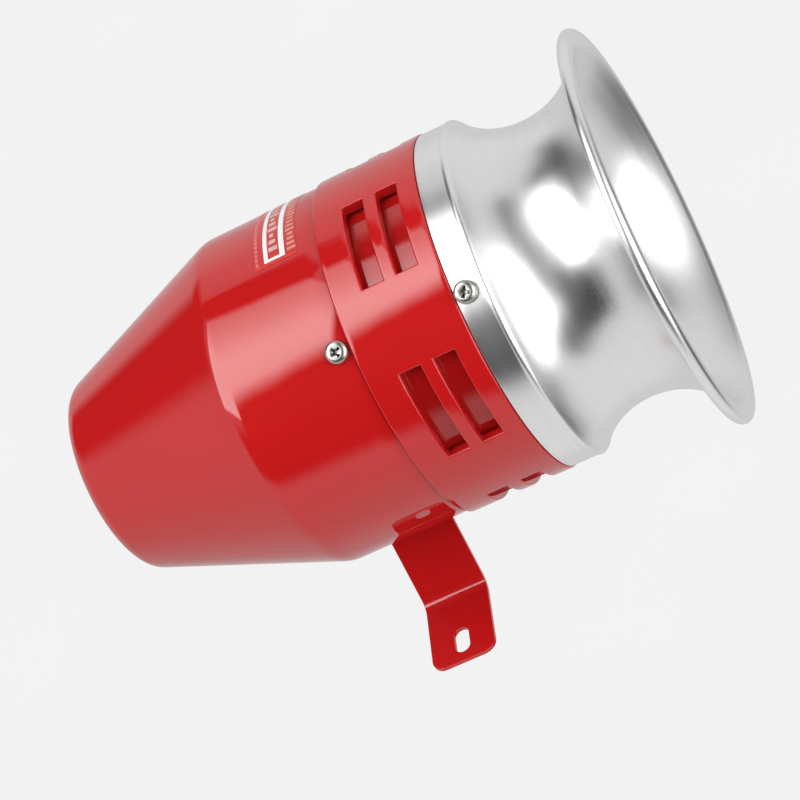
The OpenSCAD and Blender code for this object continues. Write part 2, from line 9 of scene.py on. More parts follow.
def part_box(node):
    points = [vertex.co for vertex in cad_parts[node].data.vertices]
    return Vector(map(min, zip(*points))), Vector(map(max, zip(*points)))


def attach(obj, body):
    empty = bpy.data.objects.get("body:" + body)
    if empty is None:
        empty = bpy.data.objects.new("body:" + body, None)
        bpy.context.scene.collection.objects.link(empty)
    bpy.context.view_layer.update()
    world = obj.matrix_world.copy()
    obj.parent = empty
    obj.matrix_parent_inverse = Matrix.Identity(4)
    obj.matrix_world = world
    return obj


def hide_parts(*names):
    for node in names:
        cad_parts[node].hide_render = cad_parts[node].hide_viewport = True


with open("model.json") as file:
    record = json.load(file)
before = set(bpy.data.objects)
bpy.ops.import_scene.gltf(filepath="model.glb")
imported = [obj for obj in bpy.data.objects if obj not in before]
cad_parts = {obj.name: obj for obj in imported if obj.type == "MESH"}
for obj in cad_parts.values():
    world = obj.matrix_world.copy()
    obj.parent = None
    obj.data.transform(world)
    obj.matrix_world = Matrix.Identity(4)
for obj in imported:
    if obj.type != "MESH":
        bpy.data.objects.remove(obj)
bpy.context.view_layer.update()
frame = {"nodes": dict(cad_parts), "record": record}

# Lengths in this script are in millimetres unless a name ends in _M, and MM turns them to metres.
MM = 0.001
FULL_TURN = 2 * math.pi


# ---------------------------------------------------------------- the frame's own sizes

def box_mm(node):
    """Lowest and highest corner of a CAD node, in millimetres."""
    lo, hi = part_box(node)
    return lo / MM, hi / MM


cover_lo, cover_hi = box_mm("rear_cover")
ring_lo, ring_hi = box_mm("slotted_ring")
horn_lo, horn_hi = box_mm("horn")
strap_lo, strap_hi = box_mm("mounting_bracket")
_, drum_hi = box_mm("siren_rotor")
label_lo, label_hi = box_mm("rating_label")

# A radius below this counts as a point on the axis.
ON_AXIS_R = 1e-4
AXIS_Z = (cover_lo.z + cover_hi.z) / 2
COVER_R = (cover_hi.y - cover_lo.y) / 2
COVER_X0 = cover_lo.x
RIM_X = cover_hi.x
RING_R = AXIS_Z - ring_lo.z
RING_X1 = horn_lo.x
RING_SPIGOT_X0 = ring_lo.x
RING_SPIGOT_X1 = ring_hi.x
MOUTH_R = (horn_hi.y - horn_lo.y) / 2
MOUTH_X = horn_hi.x
DRUM_GAP = 5
DRUM_SETBACK = 8.4
DRUM_R = RING_R - DRUM_GAP
DRUM_X0 = RIM_X + DRUM_SETBACK
DRUM_X1 = drum_hi.x
STRAP_W = strap_hi.x - strap_lo.x
FOOT_END = strap_hi.y


# ---------------------------------------------------------------- outlines

def rounded(points, steps=8):
    """A path through (x, r, corner radius) points, with each corner turned by an arc."""
    path = []
    for i, (x, r, radius) in enumerate(points):
        b = Vector((x, r))
        if radius <= 0 or i in (0, len(points) - 1):
            path.append(b)
            continue
        a = Vector(points[i - 1][:2])
        c = Vector(points[i + 1][:2])
        u, v = (a - b).normalized(), (c - b).normalized()
        half = u.angle(v) / 2
        centre = b + (u + v).normalized() * radius / math.sin(half)
        p, q = b + u * radius / math.tan(half) - centre, b + v * radius / math.tan(half) - centre
        turn = math.atan2(p.x * q.y - p.y * q.x, p.dot(q))
        for k in range(steps + 1):
            t = turn * k / steps
            path.append(centre + Vector((p.x * math.cos(t) - p.y * math.sin(t),
                                         p.x * math.sin(t) + p.y * math.cos(t))))
    return path


def cubic(a, b, c, d, steps):
    """Points along a cubic curve, without its first point."""
    a, b, c, d = (Vector(p) for p in (a, b, c, d))
    points = []
    for i in range(1, steps + 1):
        t = i / steps
        s = 1 - t
        points.append(a * s ** 3 + b * 3 * s * s * t + c * 3 * s * t * t + d * t ** 3)
    return points


def refined(path, step):
    """The same path with no stretch longer than step."""
    out = [path[0]]
    for a, b in zip(path, path[1:]):
        n = max(1, math.ceil((b - a).length / step))
        out += [a.lerp(b, i / n) for i in range(1, n + 1)]
    return out


def beside(path, d):
    """The path moved to its left by d."""
    out = []
    for i, p in enumerate(path):
        t = path[min(i + 1, len(path) - 1)] - path[max(i - 1, 0)]
        out.append(p + Vector((-t.y, t.x)).normalized() * d)
    return out


# ---------------------------------------------------------------- meshes

def link(name, mesh, body, material, node):
    """A new piece that rides on a body and stands for a CAD node, with its material slot."""
    piece = bpy.data.objects.new(name, mesh)
    bpy.context.scene.collection.objects.link(piece)
    mesh.materials.append(material)
    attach(piece, body)
    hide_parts(node)
    return piece


SHARP_DEG = 35


def finish_mesh(bm, name, sharp_deg=SHARP_DEG):
    """A smooth mesh from a bmesh, with sharp edges where faces meet at more than sharp_deg."""
    bmesh.ops.recalc_face_normals(bm, faces=bm.faces)
    mesh = bpy.data.meshes.new(name)
    bm.to_mesh(mesh)
    bm.free()
    mesh.shade_smooth()
    mesh.set_sharp_from_angle(angle=math.radians(sharp_deg))
    return mesh


# Local Z runs along the siren's axis, local X points up and local Y points to -Y.
ON_AXIS = Matrix(((0, 0, 1, 0), (0, -1, 0, 0), (1, 0, 0, AXIS_Z), (0, 0, 0, 1)))


def seat(x, r, clock, spin=0):
    """Local Z points out from the axis at station x, radius r and a clock angle in degrees."""
    out = Matrix(((0, 0, 1, r), (0, 1, 0, 0), (-1, 0, 0, x), (0, 0, 0, 1)))
    return (ON_AXIS @ Matrix.Rotation(math.radians(clock), 4, "Z") @ out
            @ Matrix.Rotation(math.radians(spin), 4, "Z"))


def turned(bm, path, closed=False, segments=256, place=ON_AXIS, clocks=None):
    """Turns a path of (station, radius) points about local Z, all the way or over some clocks."""
    whole = clocks is None
    if whole:
        clocks = [360 * k / segments for k in range(segments)]
    rings = []
    for p in path:
        if p.y < ON_AXIS_R:
            rings.append([bm.verts.new(place @ Vector((0, 0, p.x)) * MM)])
            continue
        ring = []
        for clock in clocks:
            a = math.radians(clock)
            ring.append(bm.verts.new(place @ Vector((p.y * math.cos(a), p.y * math.sin(a), p.x)) * MM))
        rings.append(ring)
    pairs = list(zip(rings, rings[1:])) + ([(rings[-1], rings[0])] if closed else [])
    for a, b in pairs:
        for k in range(len(clocks) if whole else len(clocks) - 1):
            n = (k + 1) % len(clocks)
            if len(a) == 1 and len(b) == 1:
                continue
            if len(a) == 1:
                bm.faces.new((a[0], b[k], b[n]))
            elif len(b) == 1:
                bm.faces.new((a[k], a[n], b[0]))
            else:
                bm.faces.new((a[k], b[k], b[n], a[n]))
    if not whole:
        bm.faces.new([ring[0] for ring in rings])
        bm.faces.new([ring[-1] for ring in rings[::-1]])


def revolve(name, path, closed=False, segments=256, place=ON_AXIS):
    """A mesh turned from a path."""
    bm = bmesh.new()
    turned(bm, path, closed, segments, place)
    return finish_mesh(bm, name)


def prism(bm, lower, upper, z0, z1, place=Matrix.Identity(4)):
    """A solid between two outlines of equal count, one at z0 and one at z1."""
    low = [bm.verts.new(place @ Vector((x, y, z0)) * MM) for x, y in lower]
    high = [bm.verts.new(place @ Vector((x, y, z1)) * MM) for x, y in upper]
    for k in range(len(low)):
        n = (k + 1) % len(low)
        bm.faces.new((low[k], low[n], high[n], high[k]))
    bm.faces.new(low[::-1])
    bm.faces.new(high)


def rectangle(w, h):
    """A rectangle's corners, centred."""
    return [(-w / 2, -h / 2), (w / 2, -h / 2), (w / 2, h / 2), (-w / 2, h / 2)]


def capsule(w, length):
    """A slot's outline, long along Y."""
    steps = 16
    run = (length - w) / 2
    points = []
    for k in range(steps + 1):
        a = math.pi * k / steps
        points.append((w / 2 * math.cos(a), run + w / 2 * math.sin(a)))
    return points + [(-x, -y) for x, y in points]


def round_rectangle(w, h, r):
    """A centred rectangle with rounded corners."""
    steps = 10
    points = []
    for sx, sy, start in ((1, 1, 0), (-1, 1, 90), (-1, -1, 180), (1, -1, 270)):
        for k in range(steps + 1):
            a = math.radians(start + 90 * k / steps)
            points.append((sx * (w / 2 - r) + r * math.cos(a), sy * (h / 2 - r) + r * math.sin(a)))
    return points


def loose(name, bm):
    """A helper object made from a bmesh, outside the object's own pieces."""
    piece = bpy.data.objects.new(name, finish_mesh(bm, name))
    bpy.context.scene.collection.objects.link(piece)
    return piece


def cut(piece, cutters, operation="DIFFERENCE"):
    """Cuts a piece with helper objects, which are then removed."""
    for cutter in cutters:
        boolean = piece.modifiers.new("cut", "BOOLEAN")
        boolean.operation = operation
        boolean.solver = "EXACT"
        boolean.object = cutter
    apply_all(piece)
    for cutter in cutters:
        mesh = cutter.data
        bpy.data.objects.remove(cutter)
        bpy.data.meshes.remove(mesh)


def taken(piece):
    """The mesh of a helper object, whose object is removed."""
    mesh = piece.data
    bpy.data.objects.remove(piece)
    return mesh


def shape(name, build, cutters, bevel=0):
    """A finished mesh: built, cut and, with a bevel, with its edges eased."""
    bm = bmesh.new()
    build(bm)
    piece = loose(name, bm)
    cut(piece, cutters)
    if bevel:
        add_bevel(piece, bevel, segments=2, angle_deg=30)
        apply_all(piece)
    return taken(piece)


def copies(name, mesh, places):
    """One mesh made of copies of another, each set in its place."""
    bm = bmesh.new()
    for place in places:
        moved = mesh.copy()
        shift = place.copy()
        shift.translation *= MM
        moved.transform(shift)
        bm.from_mesh(moved)
        bpy.data.meshes.remove(moved)
    made = bpy.data.meshes.new(name)
    bm.to_mesh(made)
    bm.free()
    return made


def add_bevel(piece, width, segments=3, angle_deg=40):
    """Rounds the piece's edges and keeps its flat faces flat to the light."""
    bevel = piece.modifiers.new("edges", "BEVEL")
    bevel.width = width * MM
    bevel.segments = segments
    bevel.limit_method = "ANGLE"
    bevel.angle_limit = math.radians(angle_deg)
    bevel.use_clamp_overlap = True
    weighted = piece.modifiers.new("normals", "WEIGHTED_NORMAL")
    weighted.keep_sharp = False


def apply_all(piece):
    """Makes the piece's modifiers part of its mesh."""
    dg = bpy.context.evaluated_depsgraph_get()
    made = bpy.data.meshes.new_from_object(piece.evaluated_get(dg), depsgraph=dg)
    old = piece.data
    piece.modifiers.clear()
    piece.data = made
    bpy.data.meshes.remove(old)


# ---------------------------------------------------------------- materials

class Nodes:
    """Short forms for building a node tree."""

    def __init__(self, name):
        self.material = bpy.data.materials.new(name)
        self.material.use_nodes = True
        self.tree = self.material.node_tree
        self.shader = self.tree.nodes["Principled BSDF"]

    def add(self, kind, **values):
        node = self.tree.nodes.new(kind)
        for key, value in values.items():
            setattr(node, key, value)
        return node

    def wire(self, out, into):
        self.tree.links.new(out, into)

    def fixed(self, **sockets):
        """Sets constants on the shader's own sockets."""
        for key, value in sockets.items():
            name = key.replace("_", " ").title().replace("Ior", "IOR")
            self.shader.inputs[name].default_value = value

    def place(self, scale=(1, 1, 1)):
        """Object coordinates in metres, scaled."""
        coords = self.add("ShaderNodeTexCoord")
        mapping = self.add("ShaderNodeMapping")
        mapping.inputs["Scale"].default_value = scale
        self.wire(coords.outputs["Object"], mapping.inputs["Vector"])
        return mapping.outputs["Vector"]

    def noise(self, vector, scale, detail=2, rough=0.5, seed=0.0):
        node = self.add("ShaderNodeTexNoise", noise_dimensions="4D")
        node.inputs["W"].default_value = seed
        node.inputs["Scale"].default_value = scale
        node.inputs["Detail"].default_value = detail
        node.inputs["Roughness"].default_value = rough
        self.wire(vector, node.inputs["Vector"])
        return node.outputs["Fac"]

    def ramp(self, fac, stops):
        """A colour from (position, colour) stops."""
        node = self.add("ShaderNodeValToRGB")
        ramp = node.color_ramp
        while len(ramp.elements) < len(stops):
            ramp.elements.new(0.5)
        for element, (position, colour) in zip(ramp.elements, stops):
            element.position = position
            element.color = (*colour, 1)
        self.wire(fac, node.inputs["Fac"])
        return node.outputs["Color"]

    def span(self, value, low, high, from_low=0.3, from_high=0.7):
        """A value's range, mapped to low and high."""
        node = self.add("ShaderNodeMapRange")
        node.inputs["From Min"].default_value = from_low
        node.inputs["From Max"].default_value = from_high
        node.inputs["To Min"].default_value = low
        node.inputs["To Max"].default_value = high
        self.wire(value, node.inputs["Value"])
        return node.outputs["Result"]

    def math(self, operation, a, b=None):
        node = self.add("ShaderNodeMath", operation=operation)
        for socket, value in zip(node.inputs, (a, b)):
            if value is None:
                continue
            if isinstance(value, (int, float)):
                socket.default_value = value
            else:
                self.wire(value, socket)
        return node.outputs[0]

    def bump(self, height, strength, distance_mm, under=None):
        node = self.add("ShaderNodeBump")
        node.inputs["Strength"].default_value = strength
        node.inputs["Distance"].default_value = distance_mm * MM
        self.wire(height, node.inputs["Height"])
        if under is not None:
            self.wire(under, node.inputs["Normal"])
        return node.outputs["Normal"]

    def around_axis(self, x_scale, r_scale, turn_scale):
        """Station, radius and clock angle about the siren's axis, each scaled, as a vector."""
        coords = self.add("ShaderNodeTexCoord")
        split = self.add("ShaderNodeSeparateXYZ")
        self.wire(coords.outputs["Object"], split.inputs[0])
        y = split.outputs["Y"]
        z = self.math("SUBTRACT", split.outputs["Z"], AXIS_Z * MM)
        squares = self.math("ADD", self.math("MULTIPLY", y, y), self.math("MULTIPLY", z, z))
        radius = self.math("SQRT", squares)
        turn = self.math("ARCTAN2", y, z)
        join = self.add("ShaderNodeCombineXYZ")
        self.wire(self.math("MULTIPLY", split.outputs["X"], x_scale), join.inputs["X"])
        self.wire(self.math("MULTIPLY", radius, r_scale), join.inputs["Y"])
        self.wire(self.math("MULTIPLY", turn, turn_scale), join.inputs["Z"])
        return join.outputs[0]


def red_enamel():
    """Stove enamel: a deep red under a hard gloss, with a faint orange peel and dust."""
    n = Nodes("red_enamel")
    place = n.place()
    cloud = n.noise(place, 14, 3, seed=1.0)
    colour = n.ramp(cloud, [(0.3, (0.460, 0.0082, 0.0086)), (0.7, (0.492, 0.0098, 0.0104))])
    n.wire(colour, n.shader.inputs["Base Color"])
    n.wire(n.span(n.noise(place, 60, 4, seed=2.0), 0.40, 0.55), n.shader.inputs["Roughness"])
    peel = n.noise(place, 260, 1, seed=3.0)
    n.wire(n.bump(peel, 0.05, 0.04), n.shader.inputs["Normal"])
    waves = n.bump(n.noise(place, 42, 2, 0.4, seed=3.5), 0.5, 0.16)
    n.wire(n.bump(peel, 0.03, 0.04, waves), n.shader.inputs["Coat Normal"])
    n.fixed(coat_weight=1.0, coat_roughness=0.02, coat_ior=1.6, specular_ior_level=0.0)
    return n.material


def spun_aluminium(name, rough_low, rough_high):
    """Spun sheet: fine turning lines round the axis, satin where the tool dragged."""
    n = Nodes(name)
    lines = n.noise(n.around_axis(1, 1, 0.0004), 2400, 3, 0.6, seed=4.0)
    bands = n.noise(n.around_axis(1, 1, 0.004), 260, 3, 0.6, seed=5.0)
    cloud = n.noise(n.place(), 22, 3, seed=6.0)
    colour = n.ramp(bands, [(0.3, (0.80, 0.805, 0.80)), (0.7, (0.85, 0.855, 0.845))])
    n.wire(colour, n.shader.inputs["Base Color"])
    specks = n.add("ShaderNodeTexVoronoi", feature="F1")
    specks.inputs["Scale"].default_value = 75
    n.wire(n.place(), specks.inputs["Vector"])
    mark = n.span(specks.outputs["Distance"], 0.16, 0.0, 0.018, 0.035)
    rough = n.math("ADD", n.span(bands, rough_low, rough_high), n.span(cloud, 0.0, 0.03))
    rough = n.math("ADD", rough, mark)
    n.wire(rough, n.shader.inputs["Roughness"])
    n.wire(n.bump(lines, 0.75, 0.02), n.shader.inputs["Normal"])
    tangent = n.add("ShaderNodeTangent", direction_type="RADIAL", axis="X")
    n.wire(tangent.outputs[0], n.shader.inputs["Tangent"])
    n.fixed(metallic=1.0, anisotropic=0.65, anisotropic_rotation=0.25)
    return n.material


def plated(name, tint, rough_low, rough_high, scale=300):
    """Plated or ground metal with fine scratches and slight clouding."""
    n = Nodes(name)
    place = n.place((1, 1, 6))
    fine = n.noise(place, scale, 5, 0.65, seed=7.0)
    cloud = n.noise(n.place(), 90, 3, seed=8.0)
    low = tuple(c * 0.86 for c in tint)
    n.wire(n.ramp(cloud, [(0.3, low), (0.7, tint)]), n.shader.inputs["Base Color"])
    n.wire(n.span(fine, rough_low, rough_high), n.shader.inputs["Roughness"])
    n.wire(n.bump(fine, 0.08, 0.02), n.shader.inputs["Normal"])
    n.fixed(metallic=1.0)
    return n.material


def cast_metal():
    """Aluminium as it leaves the mould, grainy and dull."""
    n = Nodes("cast_aluminium")
    grain = n.noise(n.place(), 900, 4, 0.6, seed=9.0)
    cloud = n.noise(n.place(), 60, 3, seed=10.0)
    n.wire(n.ramp(cloud, [(0.3, (0.42, 0.43, 0.44)), (0.7, (0.56, 0.565, 0.57))]),
           n.shader.inputs["Base Color"])
    n.wire(n.span(grain, 0.42, 0.6), n.shader.inputs["Roughness"])
    n.wire(n.bump(grain, 0.35, 0.12), n.shader.inputs["Normal"])
    n.fixed(metallic=1.0)
    return n.material


def laminations():
    """Stacked sheet: a dark line between sheets along the axis, under a thin varnish."""
    n = Nodes("lamination_steel")
    around = n.around_axis(1, 0, 0)
    sheets = n.add("ShaderNodeTexWave", wave_type="BANDS", bands_direction="X")
    sheets.inputs["Scale"].default_value = 314
    sheets.inputs["Distortion"].default_value = 0.4
    n.wire(around, sheets.inputs["Vector"])
    n.wire(n.ramp(sheets.outputs["Fac"], [(0.1, (0.05, 0.05, 0.055)), (0.5, (0.30, 0.30, 0.31))]),
           n.shader.inputs["Base Color"])
    n.wire(n.span(n.noise(n.place(), 300, 3, seed=11.0), 0.35, 0.55), n.shader.inputs["Roughness"])
    n.wire(n.bump(sheets.outputs["Fac"], 0.6, 0.15), n.shader.inputs["Normal"])
    n.fixed(metallic=0.85)
    return n.material


def windings():
    """Varnished wire laid side by side, running mostly along the axis."""
    n = Nodes("enamelled_copper")
    place = n.around_axis(30, 0, 9)
    wires = n.add("ShaderNodeTexWave", wave_type="BANDS", bands_direction="Z")
    wires.inputs["Scale"].default_value = 3.2
    wires.inputs["Distortion"].default_value = 1.2
    wires.inputs["Detail"].default_value = 1
    n.wire(place, wires.inputs["Vector"])
    n.wire(n.ramp(wires.outputs["Fac"], [(0.15, (0.12, 0.03, 0.012)), (0.6, (0.55, 0.19, 0.07))]),
           n.shader.inputs["Base Color"])
    n.wire(n.span(n.noise(n.place(), 200, 3, seed=12.0), 0.22, 0.4), n.shader.inputs["Roughness"])
    n.wire(n.bump(wires.outputs["Fac"], 0.8, 0.3), n.shader.inputs["Normal"])
    n.fixed(metallic=0.8, coat_weight=0.6, coat_roughness=0.15)
    return n.material


def moulded(name, dark, light, rough_low, rough_high, grain=700, bump=0.12):
    """Moulded plastic, rubber or carbon with a fine grain."""
    n = Nodes(name)
    cloud = n.noise(n.place(), 80, 3, seed=13.0)
    fine = n.noise(n.place(), grain, 3, 0.6, seed=14.0)
    n.wire(n.ramp(cloud, [(0.3, dark), (0.7, light)]), n.shader.inputs["Base Color"])
    n.wire(n.span(fine, rough_low, rough_high), n.shader.inputs["Roughness"])
    n.wire(n.bump(fine, bump, 0.05), n.shader.inputs["Normal"])
    return n.material


def ink(name, dark, light):
    """Print on the label's film."""
    return moulded(name, dark, light, 0.3, 0.42, 900, 0.05)


def nickel():
    """Nickel plate with painted shade: its colour is darkened in the recess by ambient occlusion."""
    n = Nodes("nickel_screw")
    fine = n.noise(n.place((1, 1, 6)), 300, 5, 0.65, seed=7.0)
    cloud = n.span(n.noise(n.place(), 90, 3, seed=8.0), 0.85, 1.0)
    # Painted shade: ambient occlusion darkens the plate's colour in the cross recess, where shade falls,
    # and the cloud adds random tone.
    recess_shade = n.add("ShaderNodeAmbientOcclusion", only_local=True)
    recess_shade.inputs["Distance"].default_value = 1.4 * MM
    shade_and_tone = n.math("MULTIPLY", n.span(recess_shade.outputs["AO"], 0, 1, 0.2, 0.8), cloud)
    n.wire(n.ramp(shade_and_tone, [(0, (0.060, 0.058, 0.048)), (1, (0.52, 0.51, 0.47))]),
           n.shader.inputs["Base Color"])
    n.wire(n.span(fine, 0.24, 0.36), n.shader.inputs["Roughness"])
    n.wire(n.bump(fine, 0.08, 0.02), n.shader.inputs["Normal"])
    n.fixed(metallic=1.0)
    return n.material


MATERIALS = {
    "red_enamel": red_enamel(),
    "spun_aluminium": spun_aluminium("spun_aluminium", 0.26, 0.31),
    "nickel_screw": nickel(),
    "zinc_steel": plated("zinc_steel", (0.60, 0.62, 0.66), 0.26, 0.42),
    "ground_steel": plated("ground_steel", (0.66, 0.66, 0.68), 0.10, 0.24, 600),
    "lamination_steel": laminations(),
    "cast_aluminium": cast_metal(),
    "enamelled_copper": windings(),
    "bare_copper": plated("bare_copper", (0.80, 0.40, 0.22), 0.2, 0.36),
    "carbon": moulded("carbon", (0.018, 0.018, 0.02), (0.04, 0.04, 0.044), 0.45, 0.65, 1500, 0.3),
    "black_phenolic": moulded("black_phenolic", (0.012, 0.012, 0.013), (0.022, 0.022, 0.024),
                              0.3, 0.45),
    "cream_plastic": moulded("cream_plastic", (0.66, 0.62, 0.50), (0.72, 0.68, 0.56), 0.28, 0.4),
    "black_rubber": moulded("black_rubber", (0.010, 0.010, 0.010), (0.020, 0.020, 0.020), 0.55, 0.75),
}
HORN_LINING = spun_aluminium("spun_aluminium_lining", 0.34, 0.40)
LABEL_WHITE = ink("label_white", (0.74, 0.75, 0.75), (0.80, 0.81, 0.81))
LABEL_PALE = ink("label_pale", (0.60, 0.33, 0.32), (0.68, 0.40, 0.38))
LABEL_SALMON = ink("label_salmon", (0.60, 0.20, 0.14), (0.68, 0.25, 0.17))
LABEL_PINK = ink("label_pink", (0.66, 0.11, 0.12), (0.72, 0.14, 0.15))
LABEL_ORANGE = ink("label_orange", (0.60, 0.030, 0.010), (0.66, 0.040, 0.014))


# ---------------------------------------------------------------- rear cover

COVER_WALL = 1.2
CYLINDER_LEN = 47.8
COVER_BEND_X = RIM_X - CYLINDER_LEN
CONE_SLOPE = math.tan(math.radians(21))
COVER_CORNER = 8.5
COVER_BEND_ROUND = 14
# The cover's edge is drawn in a little, so a fine line shows where it meets the ring.
LIP_LEN = 3.5
LIP_DROP = 0.23
LIP_ROUND = 60
EDGE_ROUND = 0.3
COVER_EDGE_X = RIM_X - 0.05
# The cord's inlet, as a station, a clock angle and the radius of the hole.
INLET_X = 5
INLET_CLOCK = 230
INLET_HOLE_R = 6


def rear_cover():
    """A drawn shell, cylinder and cone, with a hole for the cord's inlet."""
    back_r = COVER_R - (COVER_BEND_X - COVER_X0) * CONE_SLOPE
    back = [(COVER_X0, 0, 0), (COVER_X0, back_r, COVER_CORNER), (COVER_BEND_X, COVER_R, COVER_BEND_ROUND)]
    lip = [(RIM_X - LIP_LEN, COVER_R, LIP_ROUND), (COVER_EDGE_X, COVER_R - LIP_DROP, EDGE_ROUND),
           (COVER_EDGE_X, COVER_R - COVER_WALL, 0)]
    outside = rounded([*back, *lip], 14)
    inside = beside(rounded([*back, (COVER_EDGE_X, COVER_R, 0)], 14), -COVER_WALL)
    inside[0].y = 0
    path = refined(outside, 3) + refined(inside[::-1], 6)[1:]
    bm = bmesh.new()
    reach = 8
    hole = [(COVER_R - reach, 0), (COVER_R - reach, INLET_HOLE_R),
            (COVER_R + reach, INLET_HOLE_R), (COVER_R + reach, 0)]
    turned(bm, [Vector(p) for p in hole], segments=72, place=seat(INLET_X, 0, INLET_CLOCK))
    mesh = shape("rear_cover_shell", lambda shell: turned(shell, path), [loose("inlet", bm)])
    mesh.set_sharp_from_angle(angle=math.radians(SHARP_DEG))
    link("rear_cover_shell", mesh, "case", MATERIALS["red_enamel"], "rear_cover")


# ---------------------------------------------------------------- slotted walls

def slotted_wall(name, r_out, r_in, x0, x1, bands, first_clock, groups, half_deg):
    """A cylinder wall with groups of slots through it, on a grid of clock angles and stations."""
    turn_step = 2.5
    station_step = 2.2
    marks = set()
    for g in range(groups):
        centre = first_clock + g * 360 / groups
        for edge in (-half_deg, half_deg):
            marks.add(round((centre + edge) % 360, 4))
    marks = sorted(marks)
    clocks = []
    for a, b in zip(marks, marks[1:] + [marks[0] + 360]):
        n = max(1, round((b - a) / turn_step))
        clocks += [a + (b - a) * i / n for i in range(n)]
    stations = [Vector((x, 0)) for x in [x0] + [x for band in bands for x in band] + [x1]]
    stations = [p.x for p in refined(stations, station_step)]

    def open_at(clock, x):
        if not any(a < x < b for a, b in bands):
            return False
        off = (clock - first_clock + 180 / groups) % (360 / groups) - 180 / groups
        return abs(off) < half_deg

    bm = bmesh.new()
    turns = [ON_AXIS @ Matrix.Rotation(math.radians(c), 4, "Z") for c in clocks]
    grids = [[[bm.verts.new(turn @ Vector((r, 0, x)) * MM) for turn in turns] for x in stations]
             for r in (r_out, r_in)]
    count = len(clocks)
    solid = [[not open_at(clocks[k] + turn_step / 4, (stations[i] + stations[i + 1]) / 2)
              for k in range(count)] for i in range(len(stations) - 1)]
    outer, inner = grids
    for i in range(len(stations) - 1):
        for k in range(count):
            n = (k + 1) % count
            if not solid[i][k]:
                continue
            bm.faces.new((outer[i][k], outer[i + 1][k], outer[i + 1][n], outer[i][n]))
            bm.faces.new((inner[i][k], inner[i][n], inner[i + 1][n], inner[i + 1][k]))
            if i == 0 or not solid[i - 1][k]:
                bm.faces.new((outer[i][k], outer[i][n], inner[i][n], inner[i][k]))
            if i == len(stations) - 2 or not solid[i + 1][k]:
                bm.faces.new((outer[i + 1][n], outer[i + 1][k], inner[i + 1][k], inner[i + 1][n]))
            if not solid[i][k - 1]:
                bm.faces.new((outer[i + 1][k], outer[i][k], inner[i][k], inner[i + 1][k]))
            if not solid[i][n]:
                bm.faces.new((outer[i][n], outer[i + 1][n], inner[i + 1][n], inner[i][n]))
    unused = [v for v in bm.verts if not v.link_faces]
    bmesh.ops.delete(bm, geom=unused, context="VERTS")
    return finish_mesh(bm, name, 180)


# ---------------------------------------------------------------- slotted ring

# Stations of the two slots of a pair, and clock angles in degrees.
SLOT_BANDS = [(RIM_X + 11.4, RIM_X + 19.5), (RIM_X + 24.5, RIM_X + 32.5)]
SLOT_CLOCK = 16.3
SLOT_GROUPS = 6
SLOT_HALF = 16
RING_WALL = 4
RING_IN_R = RING_R - RING_WALL
FLANGE_T = 5
FLANGE_IN_R = 44
REAR_SPIGOT_R = 62.75
REAR_SPIGOT_IN_R = 59.7
FRONT_SPIGOT_R = 63.45
# Half of the gap between the ring and the horn's band.
SEAM = 0.12


def slotted_ring():
    """The slotted wall, the flange and spigot behind it and the spigot in front of it."""
    red = MATERIALS["red_enamel"]
    mesh = slotted_wall("slotted_ring_wall", RING_R, RING_IN_R, RIM_X, RING_X1 - SEAM, SLOT_BANDS,
                        SLOT_CLOCK, SLOT_GROUPS, SLOT_HALF)
    add_bevel(link("slotted_ring_wall", mesh, "case", red, "slotted_ring"), 0.6)
    spigot_x, flange_x = RIM_X + 0.3, RIM_X + 0.1
    rear = [(RING_SPIGOT_X0, REAR_SPIGOT_IN_R, 0), (RING_SPIGOT_X0, REAR_SPIGOT_R, 0.4),
            (spigot_x, REAR_SPIGOT_R, 0), (spigot_x, RING_IN_R, 0), (RIM_X + FLANGE_T, RING_IN_R, 0),
            (RIM_X + FLANGE_T, FLANGE_IN_R, 0.6), (flange_x, FLANGE_IN_R, 0.6),
            (flange_x, REAR_SPIGOT_IN_R, 0)]
    lap_x = RING_X1 - 0.6
    front = [(lap_x, RING_IN_R, 0), (lap_x, FRONT_SPIGOT_R, 0), (RING_SPIGOT_X1, FRONT_SPIGOT_R, 0.4),
             (RING_SPIGOT_X1, RING_IN_R, 0.4)]
    for name, points in (("slotted_ring_flange", rear), ("slotted_ring_spigot", front)):
        path = rounded([*points, (*points[0][:2], 0)], 4)[:-1]
        mesh = revolve(name, path, closed=True, segments=192)
        link(name, mesh, "case", red, "slotted_ring")


# ---------------------------------------------------------------- horn

HORN_WALL = 1.2
BEAD_R = 2.3
BEAD_RING_R = MOUTH_R - BEAD_R
BEAD_X = MOUTH_X - BEAD_R
NECK_R = 53.7
NECK_X = RING_X1 + 35.4
BAND_R = 64.7
BAND_END = RING_X1 + 10.1


